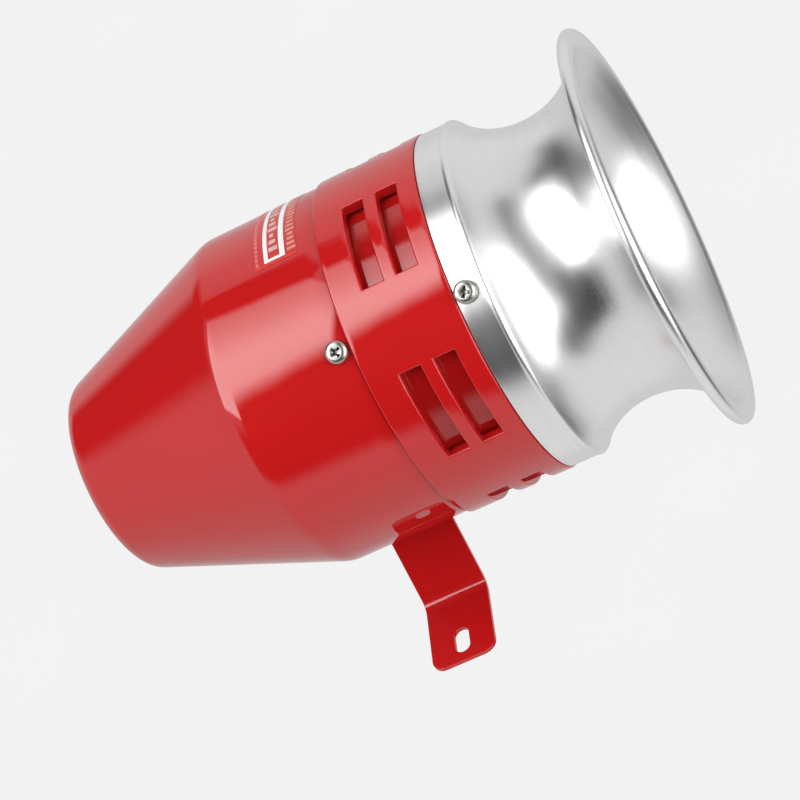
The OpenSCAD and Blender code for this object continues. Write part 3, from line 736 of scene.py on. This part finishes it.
def horn():
    """A spun bell: a band over the ring's spigot, a ridge, a neck, a flare and a rolled bead."""
    join = math.asin(1 - HORN_WALL / BEAD_R)
    rim_r = BEAD_RING_R - BEAD_R * math.cos(join)
    back_x = MOUTH_X - HORN_WALL
    outside = rounded([(RING_X1 + SEAM, BAND_R - HORN_WALL, 0), (RING_X1 + SEAM, BAND_R, 0.35),
                       (BAND_END - 0.2, BAND_R, 1.2), (BAND_END + 1.0, BAND_R + 0.42, 1.4),
                       (BAND_END + 1.9, BAND_R, 1.4), (BAND_END + 2.4, BAND_R - 0.5, 0)], 8)
    shoulder = cubic(outside[-1], (BAND_END + 5.3, 60), (NECK_X - 12.5, NECK_R), (NECK_X, NECK_R), 24)
    flare = cubic((NECK_X, NECK_R), (NECK_X + 20, NECK_R), (back_x, rim_r - 1.5), (back_x, rim_r), 64)
    bead = []
    steps = 28
    for i in range(1, steps + 1):
        a = math.pi - join + i * (0.75 * FULL_TURN + join) / steps
        bead.append(Vector((BEAD_X + BEAD_R * math.sin(a), BEAD_RING_R + BEAD_R * math.cos(a))))
    lining = [outside[0]] + beside([outside[-1]] + shoulder + flare, -HORN_WALL)
    path = refined(outside[1:], 2) + shoulder + flare + bead + refined(lining, 2)[::-1]
    mesh = revolve("horn_bell", path, closed=True, segments=288)
    link("horn_bell", mesh, "case", MATERIALS["spun_aluminium"], "horn")
    mesh.materials.append(HORN_LINING)
    axis = Vector((0, 0, AXIS_Z * MM))
    lining_end = (BEAD_X + HORN_WALL) * MM
    for face in mesh.polygons:
        outward = face.center - axis
        outward.x = 0
        if face.normal.dot(outward) < 0 and face.center.x < lining_end:
            face.material_index = 1


# ---------------------------------------------------------------- screws, washer and nut

CASE_SCREW = {"head_r": 4.1, "head_h": 2.5, "shank_r": 2, "length": 6.5}
BRACKET_SCREW = {"head_r": 4.7, "head_h": 3.4, "shank_r": 2.5, "length": 9}
COVER_SCREW_X = RIM_X - 5
HORN_SCREW_X = RING_X1 + 4.3
BRACKET_SCREW_X = 6
SCREW_CLOCK = 46.3
# Each screw's recess is turned its own way, in degrees.
SCREW_SPINS = (24, 71, 10)
HORN_SCREW_LEAN = 37


def pan_head(head_r, head_h, shank_r, length):
    """A pan-head screw with a tapered cross recess, seated on local z = 0."""
    dome = [(head_h * (0.40 + 0.60 * math.sin(a)), head_r * (0.55 + 0.45 * math.cos(a)))
            for a in (math.radians(v) for v in range(0, 91, 9))]
    path = [(-length, 0), (-length, shank_r - 0.4), (-length + 0.5, shank_r), (0, shank_r),
            (0, head_r - 0.1), (0.12, head_r), *dome, (head_h, 0)]
    wing, width, depth = head_r * 0.52, head_r * 0.24, head_h * 0.66
    cutters = []
    for turn in (0, 90):
        bm = bmesh.new()
        spin = Matrix.Rotation(math.radians(turn), 4, "Z")
        prism(bm, rectangle(wing * 0.8, width * 0.7), rectangle(wing * 2.1, width * 1.15),
              head_h - depth, head_h + 0.2, spin)
        cutters.append(loose("recess", bm))
    bm = bmesh.new()
    cone = [(head_h - depth - 0.3, 0), (head_h + 0.1, head_r * 0.30), (head_h + 0.1, 0)]
    turned(bm, [Vector(p) for p in cone], segments=24, place=Matrix.Identity(4))
    cutters.append(loose("recess", bm))
    return shape("pan_head", lambda bm: turned(bm, [Vector(p) for p in path], segments=64,
                                               place=Matrix.Identity(4)), cutters, 0.1)


def screw_heads(node, mesh, places):
    """One piece with a copy of a screw in each place."""
    name = node + "_heads"
    link(name, copies(name, mesh, places), "case", MATERIALS["nickel_screw"], node)


def screws():
    """Three screws round the cover, three round the horn's band and two through the bracket."""
    small = pan_head(**CASE_SCREW)
    for node, x, r, lean in (("cover_screws", COVER_SCREW_X, COVER_R, 0),
                             ("horn_screws", HORN_SCREW_X, BAND_R, HORN_SCREW_LEAN)):
        screw_heads(node, small, [seat(x, r, SCREW_CLOCK + 120 * k, SCREW_SPINS[k] + lean)
                                  for k in range(3)])
    strap_r = COVER_R + SADDLE_GAP + STRAP_T
    screw_heads("bracket_screws", pan_head(**BRACKET_SCREW),
                [seat(x, strap_r, 180, 15 + 5 * x) for x in (-BRACKET_SCREW_X, BRACKET_SCREW_X)])


def hexagon(across):
    """A hexagon's corners from its width across flats."""
    r = across / 2 / math.cos(math.pi / 6)
    return [(r * math.cos(math.radians(60 * k)), r * math.sin(math.radians(60 * k))) for k in range(6)]


def hex_nut(name, across, h, bore_r):
    """A hexagon nut with both faces chamfered and a countersunk bore."""
    corner = across / 2 / math.cos(math.pi / 6)
    face_r = across * 0.48
    bm = bmesh.new()
    round_part = [(-0.01, 0), (-0.01, face_r), (corner - face_r, corner + 0.05),
                  (h - corner + face_r, corner + 0.05), (h + 0.01, face_r), (h + 0.01, 0)]
    turned(bm, [Vector(p) for p in round_part], segments=96, place=Matrix.Identity(4))
    chamfer = loose("chamfer", bm)
    bm = bmesh.new()
    sink, wide_r = 0.45, bore_r + 1.4
    bore = [(-1, 0), (-1, wide_r), (sink, bore_r), (h - sink, bore_r), (h + 1, wide_r), (h + 1, 0)]
    turned(bm, [Vector(p) for p in bore], segments=48, place=Matrix.Identity(4))
    hole = loose("hole", bm)
    bm = bmesh.new()
    prism(bm, hexagon(across), hexagon(across), 0, h)
    piece = loose(name, bm)
    cut(piece, [chamfer], "INTERSECT")
    cut(piece, [hole])
    return taken(piece)


# ---------------------------------------------------------------- bracket

STRAP_T = 1.6
SADDLE_GAP = 0.1
SADDLE_HALF = 15
SADDLE_BEND = 4
FOOT_BEND = 7
FOOT_CORNER = 5
LEG_SLOPE = math.tan(math.radians(29.5))
MOUNT_SLOT_W = 6
MOUNT_SLOT_LEN = 12
MOUNT_SLOT_Y = 55.7
STRAP_MID_R = COVER_R + SADDLE_GAP + STRAP_T / 2
SADDLE_EDGE = math.asin(SADDLE_HALF / STRAP_MID_R)
SADDLE_EDGE_Z = AXIS_Z - STRAP_MID_R * math.cos(SADDLE_EDGE)
FOOT_Y = SADDLE_HALF + (SADDLE_EDGE_Z - STRAP_T / 2) * LEG_SLOPE


def bracket():
    """A bent strap: a saddle under the cover, two leaning legs and two slotted feet."""
    steps = 18
    arc = []
    for i in range(steps - 2):
        a = SADDLE_EDGE * i / steps
        arc.append(Vector((STRAP_MID_R * math.sin(a), AXIS_Z - STRAP_MID_R * math.cos(a))))
    past_edge = 1.6
    top = (SADDLE_HALF + past_edge, SADDLE_EDGE_Z + past_edge * math.tan(SADDLE_EDGE), SADDLE_BEND)
    foot = (FOOT_Y, STRAP_T / 2, FOOT_BEND)
    bends = rounded([(*arc[-1], 0), top, foot, (FOOT_END, STRAP_T / 2, 0)], 14)
    half = arc[:-1] + bends
    line = [Vector((-p.x, p.y)) for p in half[:0:-1]] + half
    ring = beside(line, STRAP_T / 2) + beside(line, -STRAP_T / 2)[::-1]
    bm = bmesh.new()
    turn = Matrix(((0, 0, 1, 0), (1, 0, 0, 0), (0, 1, 0, 0), (0, 0, 0, 1)))
    prism(bm, [tuple(p) for p in ring], [tuple(p) for p in ring], -STRAP_W / 2, STRAP_W / 2, turn)
    strap = loose("mounting_bracket_strap", bm)
    bm = bmesh.new()
    plan = round_rectangle(STRAP_W, 2 * FOOT_END - 0.02, FOOT_CORNER)
    prism(bm, plan, plan, -5, AXIS_Z)
    cut(strap, [loose("plan", bm)], "INTERSECT")
    outline = capsule(MOUNT_SLOT_W, MOUNT_SLOT_LEN)
    cutters = []
    for side in (-1, 1):
        bm = bmesh.new()
        prism(bm, outline, outline, -2, 5, Matrix.Translation((0, side * MOUNT_SLOT_Y, 0)))
        cutters.append(loose("slot", bm))
    cut(strap, cutters)
    add_bevel(strap, 0.35, angle_deg=50)
    apply_all(strap)
    link("mounting_bracket_strap", taken(strap), "case", MATERIALS["red_enamel"],
         "mounting_bracket")


# ---------------------------------------------------------------- label

LABEL_CLOCK = -21
LABEL_HALF = 30
# Radii of the film's underside, of its top and of the print's top.
FILM_LOW_R = COVER_R + 0.01
FILM_TOP_R = COVER_R + 0.10
PRINT_TOP_R = COVER_R + 0.14
FRAME_LEFT_W = 1.6
FRAME_RIGHT_W = 2.0
FRAME_END_W = 1.4


def film(name, x0, x1, clock0, clock1, low, high):
    """A thin patch of film on the cover, between two stations and two clock angles."""
    turn_step = 1.5
    n = max(2, math.ceil(abs(clock1 - clock0) / turn_step))
    clocks = [clock0 + (clock1 - clock0) * k / n for k in range(n + 1)]
    path = [Vector(p) for p in ((x0, low), (x0, high), (x1, high), (x1, low))]
    bm = bmesh.new()
    turned(bm, path, closed=True, clocks=clocks)
    return finish_mesh(bm, name)


def label():
    """A red film with a plain frame and rows of bars, and no lettering."""
    start, stop = LABEL_CLOCK + LABEL_HALF, LABEL_CLOCK - LABEL_HALF
    x0, x1 = label_lo.x, label_hi.x
    base = film("label_base", x0, x1, start, stop, FILM_LOW_R, FILM_TOP_R)
    link("label_base", base, "case", MATERIALS["red_enamel"], "rating_label")
    frame_x0, frame_x1 = x0 + 4.1, x1 - 4.7
    lower, upper = start - 1.4, stop + 1.2
    across = math.degrees(FRAME_END_W / COVER_R)
    inner_x0, inner_x1 = frame_x0 + FRAME_LEFT_W, frame_x1 - FRAME_RIGHT_W
    frame_bars = [(frame_x0, inner_x0, lower, upper),
                  (inner_x1, frame_x1, lower, upper),
                  (inner_x0, inner_x1, lower, lower - across),
                  (inner_x0, inner_x1, upper + across, upper)]
    margin = 0.5
    marks = []
    for k in range(14):
        clock = lower - 4.2 - 3.5 * k
        short = 1.4 * (k % 3) / 2
        marks.append((inner_x0 + margin + short / 2, inner_x1 - margin - short, clock, clock - 2.0))
    dashes = []
    for k in range(25):
        clock = start - 2.6 - 2.3 * k
        short = 1.1 * (k * 5 % 4) / 3
        dashes.append((frame_x1 + 0.9 + short / 2, x1 - 0.4 - short / 2, clock, clock - 1.3))
    ticks = []
    for k in range(26):
        clock = start - 1.2 - 2.2 * k
        ticks.append((x0 + 0.7, x0 + 1.8, clock, clock - 1.8))
    edge = [(x0, x1 - 0.1, start, start - 0.9)]
    patches = {"label_frame": (frame_bars, LABEL_WHITE), "label_marks": (marks, LABEL_PALE),
               "label_dashes": (dashes, LABEL_SALMON), "label_ticks": (ticks, LABEL_PINK),
               "label_edge": (edge, LABEL_ORANGE)}
    for name, (rows, material) in patches.items():
        bm = bmesh.new()
        for row in rows:
            part = film(name, *row, FILM_TOP_R, PRINT_TOP_R)
            bm.from_mesh(part)
            bpy.data.meshes.remove(part)
        mesh = bpy.data.meshes.new(name)
        bm.to_mesh(mesh)
        bm.free()
        link(name, mesh, "case", material, "rating_label")


# ---------------------------------------------------------------- siren rotor

PORT_HALF = 12
DRUM_WALL = 2.5
HUB_R = 12
BORE_R = 4.05
EYE_R = 46
VANES = 2 * SLOT_GROUPS
VANE_IN_R = 20
VANE_HALF_T = 1


def rotor():
    """Ported drum, back plate, hub, eye ring and vanes, all enamelled red."""
    red = MATERIALS["red_enamel"]
    pitch = 360 / VANES
    drum = slotted_wall("siren_rotor_drum", DRUM_R, DRUM_R - DRUM_WALL, DRUM_X0, DRUM_X1, SLOT_BANDS,
                        SLOT_CLOCK + pitch, SLOT_GROUPS, PORT_HALF)
    add_bevel(link("siren_rotor_drum", drum, "rotor", red, "siren_rotor"), 0.5)
    inside = DRUM_R - DRUM_WALL + 0.3
    plate_x0, plate_x1 = DRUM_X0 + 0.4, DRUM_X0 + 2.5
    hub_x0, hub_x1 = DRUM_X0 - 2, DRUM_X0 + 18
    back = [(plate_x0, HUB_R, 0), (plate_x0, inside, 0), (plate_x1, inside, 0), (plate_x1, HUB_R, 2.5),
            (hub_x1 - 1, HUB_R, 0), (hub_x1, HUB_R, 1), (hub_x1, BORE_R, 0.6), (hub_x0, BORE_R, 0.6),
            (hub_x0, HUB_R, 1), (plate_x0, HUB_R, 0)]
    eye_x0, eye_x1 = DRUM_X1 - 2, DRUM_X1 - 0.15
    eye = [(eye_x0, EYE_R, 0.9), (eye_x0, inside, 0), (eye_x1, inside, 0), (eye_x1, EYE_R, 0.9),
           (eye_x0, EYE_R, 0)]
    for name, points in (("siren_rotor_back", back), ("siren_rotor_eye", eye)):
        mesh = revolve(name, rounded(points, 4)[:-1], closed=True, segments=160)
        link(name, mesh, "rotor", red, "siren_rotor")
    tip_r = inside - 0.2
    outline = [(VANE_IN_R, -VANE_HALF_T), (tip_r, -VANE_HALF_T), (tip_r, VANE_HALF_T),
               (VANE_IN_R, VANE_HALF_T)]
    bm = bmesh.new()
    for k in range(VANES):
        clock = SLOT_CLOCK + pitch * (k + 0.5)
        turn = ON_AXIS @ Matrix.Rotation(math.radians(clock), 4, "Z")
        prism(bm, outline, outline, DRUM_X0 + 2, DRUM_X1 - 1, turn)
    vanes = link("siren_rotor_vanes", finish_mesh(bm, "siren_rotor_vanes"), "rotor", red,
                 "siren_rotor")
    add_bevel(vanes, 0.45)


NUT_ACROSS = 13
SHAFT_R = 4
WASHER_R = 8


def rotor_fastening():
    """The nut and the washer that hold the rotor on its shaft."""
    nut_lo, nut_hi = box_mm("rotor_nut")
    mesh = hex_nut("rotor_nut_hex", NUT_ACROSS, nut_hi.x - nut_lo.x, SHAFT_R)
    made = copies("rotor_nut_hex", mesh, [ON_AXIS @ Matrix.Translation((0, 0, nut_lo.x))])
    link("rotor_nut_hex", made, "rotor", MATERIALS["zinc_steel"], "rotor_nut")
    washer_lo, washer_hi = box_mm("rotor_washer")
    x0, x1 = washer_lo.x, washer_hi.x
    path = rounded([(x0, 6, 0), (x0, WASHER_R, 0.4), (x1, WASHER_R, 0.4), (x1, BORE_R, 0.2),
                    (x0, BORE_R, 0.2), (x0, 6, 0)], 4)[:-1]
    disc = revolve("rotor_washer_disc", path, closed=True, segments=96)
    link("rotor_washer_disc", disc, "rotor", MATERIALS["zinc_steel"], "rotor_washer")


# ---------------------------------------------------------------- cord inlet

def grommet():
    """A moulded bush in the cover's wall, with a radiused flange on each side."""
    bore, neck = 4.15, 5.95
    path = rounded([(60.6, bore, 0), (60.3, 4.6, 0.3), (60.3, 7.6, 0.5), (62.2, 7.6, 0.3),
                    (62.6, neck, 0), (64.1, neck, 0.2), (64.1, 7.95, 0.4), (65.3, 7.6, 0.9),
                    (66.45, 5.4, 0.8), (66.3, bore, 0.4), (60.6, bore, 0)], 5)[:-1]
    bush = revolve("cable_grommet_bush", path, closed=True, segments=72,
                   place=seat(INLET_X, 0, INLET_CLOCK))
    link("cable_grommet_bush", bush, "case", MATERIALS["black_rubber"],
         "cable_grommet")


# ---------------------------------------------------------------- the siren

rear_cover()
slotted_ring()
horn()
screws()
bracket()
label()
rotor()
rotor_fastening()
grommet()

# The CAD nodes that no piece stands for keep their own mesh and get their material.
for row in frame["record"]["subparts"]:
    node = frame["nodes"][row["node"]]
    if node.hide_render:
        continue
    node.data.materials.clear()
    node.data.materials.append(MATERIALS[row["material_slot"]])


# ---------------------------------------------------------------- camera

TILT_DEG = 14.75
ROLL_DEG = 24.68
RISE_DEG = 38.5
DISTANCE = 1000
SENSOR = 36
FOCAL = 124.9
LOOK_X = RIM_X - 4.3
LEFT = 3.44
ABOVE = 17.92


def make_camera():
    """The camera, and the directions toward it, to its right and up."""
    tilt, roll, rise = (math.radians(a) for a in (TILT_DEG, ROLL_DEG, RISE_DEG))
    toward = Vector((math.sin(tilt), -math.cos(tilt) * math.cos(rise),
                     math.cos(tilt) * math.sin(rise)))
    along = Vector((1, 0, 0)) - toward * toward.x
    along.normalize()
    across = toward.cross(along)
    right = along * math.cos(roll) - across * math.sin(roll)
    up = along * math.sin(roll) + across * math.cos(roll)
    place = Vector((LOOK_X, 0, AXIS_Z)) + toward * DISTANCE + right * LEFT - up * ABOVE
    data = bpy.data.cameras.new("camera")
    data.lens = FOCAL
    data.sensor_width = SENSOR
    data.clip_end = 100
    camera = bpy.data.objects.new("camera", data)
    bpy.context.scene.collection.objects.link(camera)
    turn = Matrix((right, up, toward)).transposed().to_4x4()
    camera.matrix_world = Matrix.Translation(place * MM) @ turn
    bpy.context.scene.camera = camera
    return toward, right, up


TOWARD, RIGHT, UP = make_camera()


# ---------------------------------------------------------------- light and floor

# The studio is a pale light tent with two softboxes. Directions are given as bearings to the
# right of the camera's own line from the siren, and heights above it, in degrees.
TENT_LEVEL = 0.80
BACKDROP_LEVEL = 0.66
DARK_SHARE = 0.95
# Dark gaps in the tent: bearings, heights and the softness of their edges.
GAPS = [((-37, 10), (-58, 66), 6), ((-62, 48), (-58, -24), 8), ((-122, -78), (-4, 44), 8),
        ((-90, -62), (39, 50), 3), ((76, 128), (-18, 46), 12)]
# Softboxes: bearings, heights, softness, softness of the right edge, and level.
BOXES = [((-72, -35), (-16, 40), 1.5, 3, 4.3), ((13, 66), (-20, 42), 8, 8, 2.7)]
# Above the first of these heights a softbox fades, and at the second it has lost this share.
BOX_FADE_HEIGHTS = (16, 40)
BOX_FADE_SHARE = 0.65


def studio():
    """The world: a tent with gaps and softboxes, worked out from a direction alone."""
    made = bpy.data.worlds.new("studio")
    bpy.context.scene.world = made
    made.use_nodes = True
    tree = made.node_tree
    back = tree.nodes["Background"]
    coords = tree.nodes.new("ShaderNodeTexCoord")

    def calc(operation, *values):
        """One sum on numbers or sockets."""
        node = tree.nodes.new("ShaderNodeMath")
        node.operation = operation
        for socket, value in zip(node.inputs, values):
            if isinstance(value, (int, float)):
                socket.default_value = value
            else:
                tree.links.new(value, socket)
        return node.outputs[0]

    def along(axis):
        """How far a direction points along an axis."""
        node = tree.nodes.new("ShaderNodeVectorMath")
        node.operation = "DOT_PRODUCT"
        tree.links.new(coords.outputs["Generated"], node.inputs[0])
        node.inputs[1].default_value = axis
        return node.outputs["Value"]

    def step(value, low, high):
        """A smooth step from 0 at low to 1 at high."""
        node = tree.nodes.new("ShaderNodeMapRange")
        node.interpolation_type = "SMOOTHSTEP"
        node.inputs["From Min"].default_value = low
        node.inputs["From Max"].default_value = high
        tree.links.new(value, node.inputs["Value"])
        return node.outputs["Result"]

    toward = along(TOWARD)
    to_degrees = math.degrees(1)
    bearing = calc("MULTIPLY", calc("ARCTAN2", along(RIGHT), toward), to_degrees)
    height = calc("MULTIPLY", calc("ARCSINE", along(UP)), to_degrees)

    def panel(bearings, heights, soft, right_soft):
        """1 inside a rectangle of bearings and heights, and 0 outside its soft edges."""
        sides = [step(bearing, bearings[0] - soft, bearings[0] + soft),
                 calc("SUBTRACT", 1, step(bearing, bearings[1] - right_soft, bearings[1] + right_soft)),
                 step(height, heights[0] - soft, heights[0] + soft),
                 calc("SUBTRACT", 1, step(height, heights[1] - soft, heights[1] + soft))]
        mask = sides[0]
        for side in sides[1:]:
            mask = calc("MULTIPLY", mask, side)
        return mask

    behind = step(calc("MULTIPLY", toward, -1), 0.55, 0.85)
    light = calc("ADD", TENT_LEVEL, calc("MULTIPLY", behind, BACKDROP_LEVEL - TENT_LEVEL))
    for bearings, heights, soft in GAPS:
        dark = calc("MULTIPLY", panel(bearings, heights, soft, soft), DARK_SHARE)
        light = calc("MULTIPLY", light, calc("SUBTRACT", 1, dark))
    fade = calc("SUBTRACT", 1, calc("MULTIPLY", step(height, *BOX_FADE_HEIGHTS), BOX_FADE_SHARE))
    for bearings, heights, soft, right_soft, level in BOXES:
        box = calc("MULTIPLY", panel(bearings, heights, soft, right_soft), fade)
        light = calc("ADD", light, calc("MULTIPLY", box, level))
    tree.links.new(light, back.inputs["Color"])
    back.inputs["Strength"].default_value = 1


FLOOR_Z = -2000
STAGE_R = 9000
STAGE_TOP = 7000
FLOOR_CURVE = 4000
CEILING_CURVE = 3400
PAPER_LOW = 0.886
PAPER_HIGH = 0.892


def stage():
    """A pale paper floor that turns up into walls and a ceiling, seen by the camera only."""
    path = rounded([(FLOOR_Z, 0, 0), (FLOOR_Z, STAGE_R, FLOOR_CURVE),
                    (STAGE_TOP, STAGE_R, CEILING_CURVE), (STAGE_TOP, 0, 0)], 16)
    bm = bmesh.new()
    turned(bm, path, segments=96, place=Matrix.Identity(4))
    mesh = finish_mesh(bm, "stage")
    n = Nodes("stage_paper")
    cloud = n.noise(n.place(), 3, 2, seed=20.0)
    paper = n.ramp(cloud, [(0.3, (PAPER_LOW,) * 3), (0.7, (PAPER_HIGH,) * 3)])
    n.wire(paper, n.shader.inputs["Emission Color"])
    n.fixed(roughness=1.0, emission_strength=1.0, specular_ior_level=0.0)
    n.shader.inputs["Base Color"].default_value = (0, 0, 0, 1)
    mesh.materials.append(n.material)
    paper_room = bpy.data.objects.new("stage", mesh)
    bpy.context.scene.collection.objects.link(paper_room)
    paper_room.visible_diffuse = False
    paper_room.visible_glossy = False
    paper_room.visible_shadow = False


bpy.context.scene.view_settings.view_transform = "Standard"
studio()
stage()
